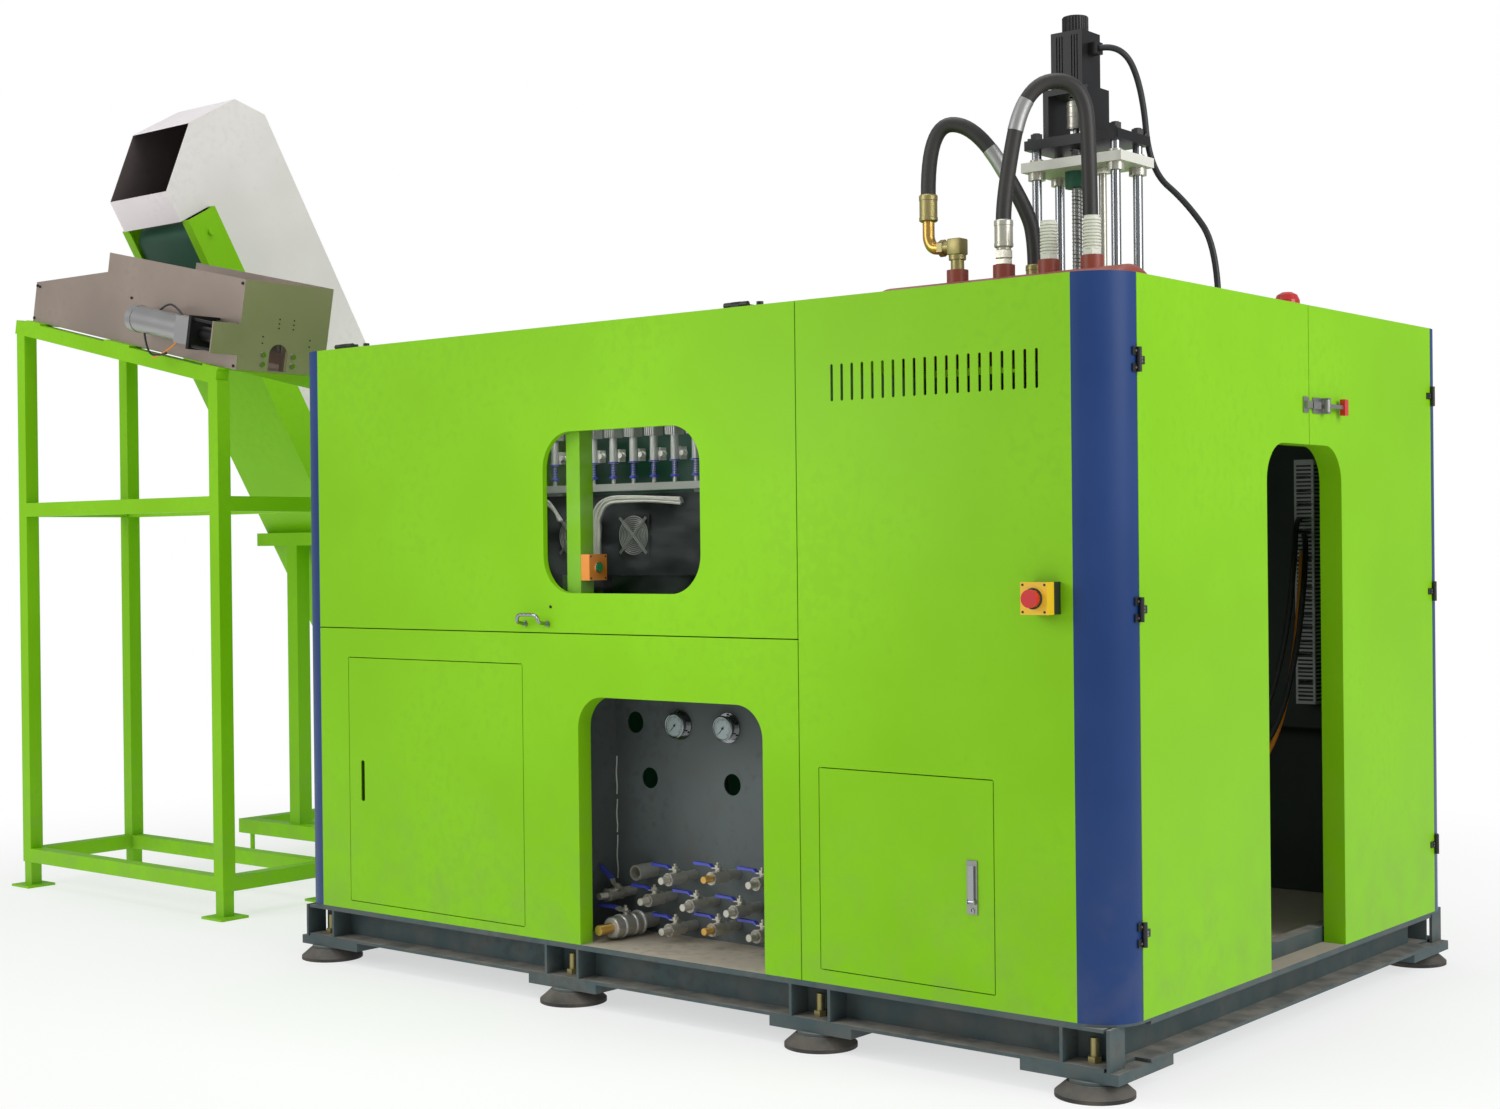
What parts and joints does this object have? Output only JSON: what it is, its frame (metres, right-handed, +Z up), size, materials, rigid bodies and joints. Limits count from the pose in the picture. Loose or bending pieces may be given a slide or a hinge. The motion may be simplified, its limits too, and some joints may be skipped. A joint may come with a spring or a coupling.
{
  "type": "blow moulding machine",
  "caption": "Bottle blow moulding machine: preform loader with elevator and sorting trough beside a green cabinet on levelling feet with a servo stretch unit on top.",
  "frame": {"origin": "middle of the footprint on the floor", "axes": "+X to the right seen from the front, +Y to the back, +Z up"},
  "size_m": [4.734, 2.409, 2.8967],
  "materials": {
    "lime_paint": "satin lime green powder coat",
    "dark_paint": "satin grey green paint, dusty",
    "blue_paint": "satin blue powder coat",
    "grey_paint": "grey primer",
    "red_paint": "red brown paint",
    "rubber": "black rubber",
    "steel": "bare steel",
    "stainless": "brushed stainless steel",
    "aluminium": "machined aluminium",
    "chrome": "polished",
    "brass": "brass and nickel plate",
    "black_metal": "black paint",
    "black_plastic": "black plastic",
    "white_plastic": "white plastic",
    "blue_plastic": "blue plastic sleeve",
    "red_plastic": "red plastic",
    "green_plastic": "green plastic",
    "yellow_plastic": "yellow and orange plastic",
    "duct_plastic": "grey plastic",
    "clear_sheet": "clear sheet",
    "belt_rubber": "dark green belt",
    "hose_rubber": "black hose"
  },
  "bodies": {
    "machine": {"base_frame": "dark_paint", "levelling_mounts": "rubber", "cabinet_frame": "grey_paint", "corner_columns": "blue_paint", "front_lower_panel": "lime_paint", "front_right_panel": "lime_paint", "end_and_rear_panels": "lime_paint", "roof_panel": "lime_paint", "valve_niche": "grey_paint", "ball_valves": "brass", "pressure_gauges": "chrome", "button_boxes": "yellow_plastic", "oven_housing": "grey_paint", "spindle_row": "aluminium", "cable_duct": "duct_plastic", "air_tank": "red_paint", "top_fittings": "steel", "hose_low": "hose_rubber", "hose_tall": "hose_rubber", "servo_cable": "hose_rubber", "guide_posts": "chrome", "servo_bracket": "black_metal", "servo_motor": "black_metal", "beacon": "red_plastic", "hinge_leaves": "black_metal", "stand_frame": "lime_paint", "trough": "stainless", "gear_motor": "aluminium", "elevator_frame": "lime_paint", "elevator_belt": "belt_rubber", "hood": "stainless", "mould_clamp_frame": "steel"},
    "lift_door_unit": {"lift_door": "lime_paint", "lift_door_window": "clear_sheet"},
    "left_access_unit": {"left_access_door": "lime_paint"},
    "right_access_unit": {"right_access_door": "lime_paint"},
    "latch_paddle": {"latch_handle": "steel"},
    "front_side_unit": {"side_door_front": "lime_paint"},
    "rear_side_unit": {"side_door_rear": "lime_paint", "toggle_latch_base": "steel"},
    "toggle_unit": {"toggle_lever": "red_plastic"},
    "stop_button_unit": {"estop_button": "red_plastic"},
    "start_button_unit": {"start_button": "green_plastic"},
    "left_fan_rotor": {"fan_left": "black_plastic"},
    "right_fan_rotor": {"fan_right": "black_plastic"},
    "carriage_unit": {"stretch_carriage": "white_plastic"},
    "screw_unit": {"ball_screw": "steel"},
    "front_roller_unit": {"sorting_roller_front": "stainless"},
    "rear_roller_unit": {"sorting_roller_rear": "stainless"},
    "lever_unit_01": {"valve_lever_01": "blue_plastic"},
    "lever_unit_02": {"valve_lever_02": "blue_plastic"},
    "lever_unit_03": {"valve_lever_03": "blue_plastic"},
    "lever_unit_04": {"valve_lever_04": "blue_plastic"},
    "lever_unit_05": {"valve_lever_05": "blue_plastic"},
    "lever_unit_06": {"valve_lever_06": "blue_plastic"},
    "lever_unit_07": {"valve_lever_07": "blue_plastic"},
    "lever_unit_08": {"valve_lever_08": "blue_plastic"},
    "lever_unit_09": {"valve_lever_09": "blue_plastic"},
    "lever_unit_10": {"valve_lever_10": "blue_plastic"},
    "lever_unit_11": {"valve_lever_11": "blue_plastic"}
  },
  "joints": [
    {"name": "lift_door_hinge", "type": "hinge", "parent": "machine", "child": "lift_door_unit", "pos_m": [0.54875, -1.0955, 1.824], "axis": [-1, 0, 0], "range_deg": [0, 80]},
    {"name": "left_access_hinge", "type": "hinge", "parent": "machine", "child": "left_access_unit", "pos_m": [0.51775, -1.1225, 0.548], "axis": [0, 0, 1], "range_deg": [0, 110]},
    {"name": "right_access_hinge", "type": "hinge", "parent": "machine", "child": "right_access_unit", "pos_m": [1.53975, -1.1225, 0.442], "axis": [0, 0, -1], "range_deg": [0, 110]},
    {"name": "latch_paddle_hinge", "type": "hinge", "parent": "right_access_unit", "child": "latch_paddle", "pos_m": [1.97375, -1.1323, 0.405], "axis": [1, 0, 0], "range_deg": [0, 40]},
    {"name": "front_side_hinge", "type": "hinge", "parent": "machine", "child": "front_side_unit", "pos_m": [2.35525, -1.0205, 1], "axis": [0, 0, -1], "range_deg": [0, 110]},
    {"name": "rear_side_hinge", "type": "hinge", "parent": "machine", "child": "rear_side_unit", "pos_m": [2.35525, 0.6745, 1], "axis": [0, 0, 1], "range_deg": [0, 110]},
    {"name": "toggle_lever_hinge", "type": "hinge", "parent": "rear_side_unit", "child": "toggle_unit", "pos_m": [2.36475, -0.0575, 1.562], "axis": [0, 0, -1], "range_deg": [0, 110]},
    {"name": "estop_press", "type": "slide", "parent": "machine", "child": "stop_button_unit", "axis": [0, 1, 0], "range_m": [0, 0.005]},
    {"name": "start_press", "type": "slide", "parent": "machine", "child": "start_button_unit", "axis": [-1, 0, 0], "range_m": [0, 0.004], "stiffness_N_per_m": 500},
    {"name": "left_fan_spin", "type": "hinge", "parent": "machine", "child": "left_fan_rotor", "pos_m": [0.26375, -0.6295, 1.255], "axis": [0, 1, 0], "continuous": true},
    {"name": "right_fan_spin", "type": "hinge", "parent": "machine", "child": "right_fan_rotor", "pos_m": [0.50675, -0.6295, 1.255], "axis": [0, 1, 0], "continuous": true},
    {"name": "carriage_slide", "type": "slide", "parent": "machine", "child": "carriage_unit", "axis": [0, 0, -1], "range_m": [0, 0.3]},
    {"name": "screw_spin", "type": "hinge", "parent": "machine", "child": "screw_unit", "pos_m": [1.83275, -0.3885, 2], "axis": [0, 0, 1], "continuous": true},
    {"name": "front_roller_spin", "type": "hinge", "parent": "machine", "child": "front_roller_unit", "pos_m": [-1.64598, -0.7535, 2.03317], "axis": [0.9781, 0, -0.2079], "continuous": true},
    {"name": "rear_roller_spin", "type": "hinge", "parent": "machine", "child": "rear_roller_unit", "pos_m": [-1.64598, -0.6575, 2.03317], "axis": [0.9781, 0, -0.2079], "continuous": true},
    {"name": "lever_turn_01", "type": "hinge", "parent": "machine", "child": "lever_unit_01", "pos_m": [0.90875, -0.9435, 0.359], "axis": [0, 0, 1], "range_deg": [0, 90]},
    {"name": "lever_turn_02", "type": "hinge", "parent": "machine", "child": "lever_unit_02", "pos_m": [1.05875, -0.9435, 0.376], "axis": [0, 0, 1], "range_deg": [0, 90]},
    {"name": "lever_turn_03", "type": "hinge", "parent": "machine", "child": "lever_unit_03", "pos_m": [1.20875, -0.9435, 0.376], "axis": [0, 0, 1], "range_deg": [0, 90]},
    {"name": "lever_turn_04", "type": "hinge", "parent": "machine", "child": "lever_unit_04", "pos_m": [0.69752, -0.9435, 0.29166], "axis": [0.5736, 0, 0.8192], "range_deg": [0, 90]},
    {"name": "lever_turn_05", "type": "hinge", "parent": "machine", "child": "lever_unit_05", "pos_m": [0.83375, -0.9435, 0.296], "axis": [0, 0, 1], "range_deg": [0, 90]},
    {"name": "lever_turn_06", "type": "hinge", "parent": "machine", "child": "lever_unit_06", "pos_m": [0.98375, -0.9435, 0.296], "axis": [0, 0, 1], "range_deg": [0, 90]},
    {"name": "lever_turn_07", "type": "hinge", "parent": "machine", "child": "lever_unit_07", "pos_m": [1.13375, -0.9435, 0.296], "axis": [0, 0, 1], "range_deg": [0, 90]},
    {"name": "lever_turn_08", "type": "hinge", "parent": "machine", "child": "lever_unit_08", "pos_m": [0.75875, -0.9785, 0.238], "axis": [0, 0, 1], "range_deg": [0, 90]},
    {"name": "lever_turn_09", "type": "hinge", "parent": "machine", "child": "lever_unit_09", "pos_m": [0.90875, -0.9435, 0.224], "axis": [0, 0, 1], "range_deg": [0, 90]},
    {"name": "lever_turn_10", "type": "hinge", "parent": "machine", "child": "lever_unit_10", "pos_m": [1.05875, -0.9435, 0.241], "axis": [0, 0, 1], "range_deg": [0, 90]},
    {"name": "lever_turn_11", "type": "hinge", "parent": "machine", "child": "lever_unit_11", "pos_m": [1.20875, -0.9435, 0.241], "axis": [0, 0, 1], "range_deg": [0, 90]}
  ],
  "couplings": [
    {"joint": "screw_spin", "follows": "carriage_slide", "rad_per_m": 251.33},
    {"joint": "rear_roller_spin", "follows": "front_roller_spin", "ratio": -1}
  ]
}
